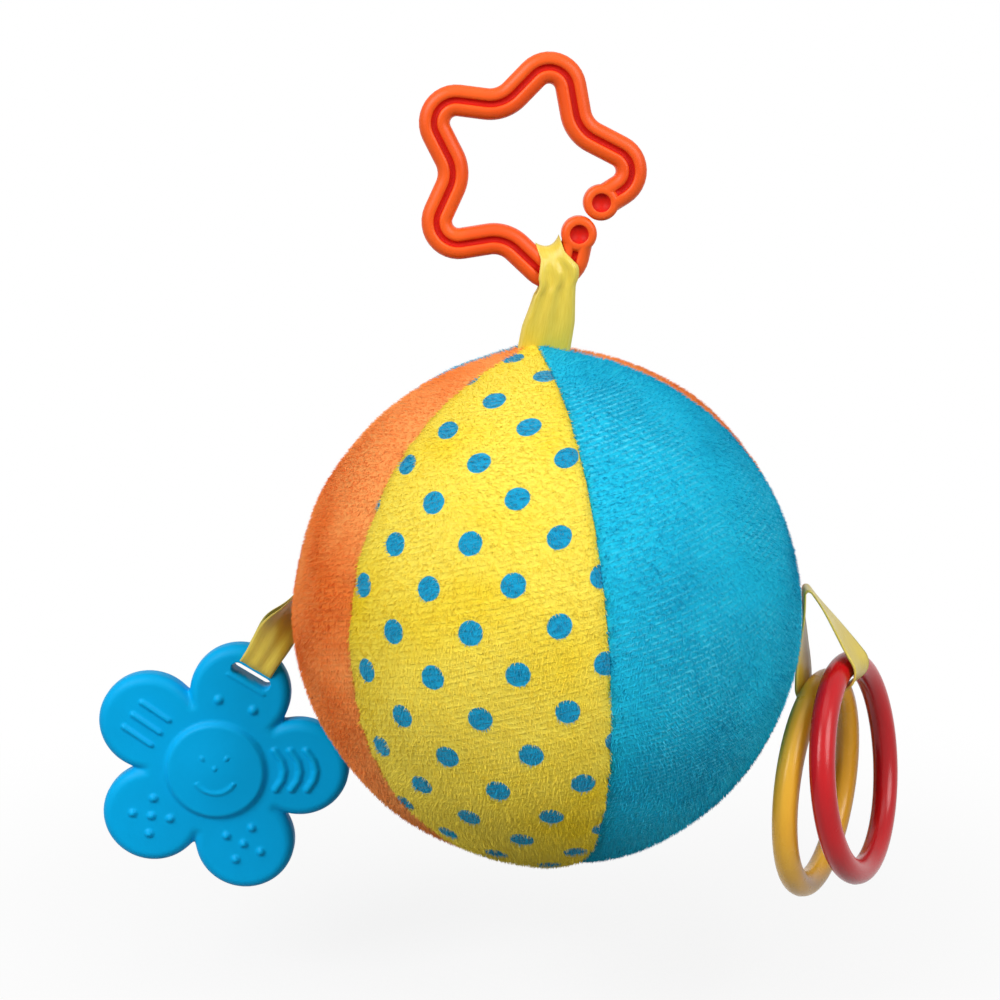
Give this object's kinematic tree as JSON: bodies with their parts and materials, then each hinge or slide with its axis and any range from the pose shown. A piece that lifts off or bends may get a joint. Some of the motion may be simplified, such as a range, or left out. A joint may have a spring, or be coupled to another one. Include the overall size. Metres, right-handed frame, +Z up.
{
  "type": "plush teether ball",
  "caption": "Stuffed plush ball of coloured gores that hangs by a ribbon from an openable star link, with a flower teether and teething rings on ribbon loops.",
  "frame": {"origin": "inside the upper tip of the star link, where a hook or strap carries the toy", "axes": "+Z up along the hanging direction, +X to the right of the star's face, -Y towards the viewer"},
  "size_m": [0.1957, 0.1192, 0.2026],
  "materials": {
    "plush_orange": "short-pile plush",
    "plush_yellow": "short-pile plush printed with blue dots",
    "plush_blue": "short-pile plush",
    "ribbon_satin": "satin ribbon",
    "star_plastic": "moulded gloss",
    "flower_plastic": "moulded soft satin",
    "ring_red": "moulded gloss",
    "ring_yellow": "moulded gloss",
    "fibre_fill": "loose polyester fibre",
    "capsule_plastic": "moulded",
    "bead_plastic": "moulded"
  },
  "bodies": {
    "star": {"star_link": "star_plastic"},
    "top_ribbon": {"top_ribbon": "ribbon_satin"},
    "ball": {"yellow_panel_front": "plush_yellow", "blue_panel_front": "plush_blue", "orange_panel_front": "plush_orange", "yellow_panel_back": "plush_yellow", "blue_panel_back": "plush_blue", "orange_panel_back": "plush_orange", "upper_fill": "fibre_fill", "lower_fill": "fibre_fill", "rattle_capsule_base": "capsule_plastic", "rattle_capsule_lid": "capsule_plastic"},
    "left_ribbon": {"left_ribbon": "ribbon_satin"},
    "flower_teether": {"flower_teether": "flower_plastic"},
    "right_ribbon": {"right_ribbon": "ribbon_satin"},
    "red_ring": {"red_ring": "ring_red"},
    "yellow_ring": {"yellow_ring": "ring_yellow"},
    "rattle_bead_1": {"rattle_bead_1": "bead_plastic"},
    "rattle_bead_2": {"rattle_bead_2": "bead_plastic"},
    "rattle_bead_3": {"rattle_bead_3": "bead_plastic"}
  },
  "joints": [
    {"name": "star_swing", "type": "hinge", "parent": "star", "child": "top_ribbon", "pos_m": [0.00179, 0, -0.04124], "axis": [0.9455, 0, 0.3256], "range_deg": [-60, 60]},
    {"name": "ball_swing", "type": "hinge", "parent": "top_ribbon", "child": "ball", "pos_m": [0, 0, -0.05844], "axis": [1, 0, 0], "range_deg": [-35, 35]},
    {"name": "left_ribbon_flap", "type": "hinge", "parent": "ball", "child": "left_ribbon", "pos_m": [-0.06014, 0.01278, -0.12144], "axis": [0.2093, 0.9691, -0.1308], "range_deg": [0, 60]},
    {"name": "flower_swing", "type": "hinge", "parent": "left_ribbon", "child": "flower_teether", "pos_m": [-0.06968, 0.01278, -0.13671], "axis": [0.848, 0, -0.5299], "range_deg": [0, 40]},
    {"name": "right_ribbon_flap", "type": "hinge", "parent": "ball", "child": "right_ribbon", "pos_m": [0.06115, -0.00643, -0.11854], "axis": [-0.1065, -0.9867, 0.1227], "range_deg": [0, 70]},
    {"name": "red_ring_swing", "type": "hinge", "parent": "right_ribbon", "child": "red_ring", "pos_m": [0.06824, -0.01007, -0.13166], "axis": [-0.4571, -0.8894, 0], "range_deg": [-2, 60]},
    {"name": "yellow_ring_swing", "type": "hinge", "parent": "right_ribbon", "child": "yellow_ring", "pos_m": [0.06361, -0.00769, -0.13663], "axis": [-0.4571, -0.8894, 0], "range_deg": [-12, 1]},
    {"name": "rattle_bead_1_rattle", "type": "slide", "parent": "ball", "child": "rattle_bead_1", "axis": [0, 0, 1], "range_m": [0, 0.019]},
    {"name": "rattle_bead_2_rattle", "type": "slide", "parent": "ball", "child": "rattle_bead_2", "axis": [0, 0, 1], "range_m": [0, 0.019]},
    {"name": "rattle_bead_3_rattle", "type": "slide", "parent": "ball", "child": "rattle_bead_3", "axis": [0, 0, 1], "range_m": [0, 0.019]}
  ]
}
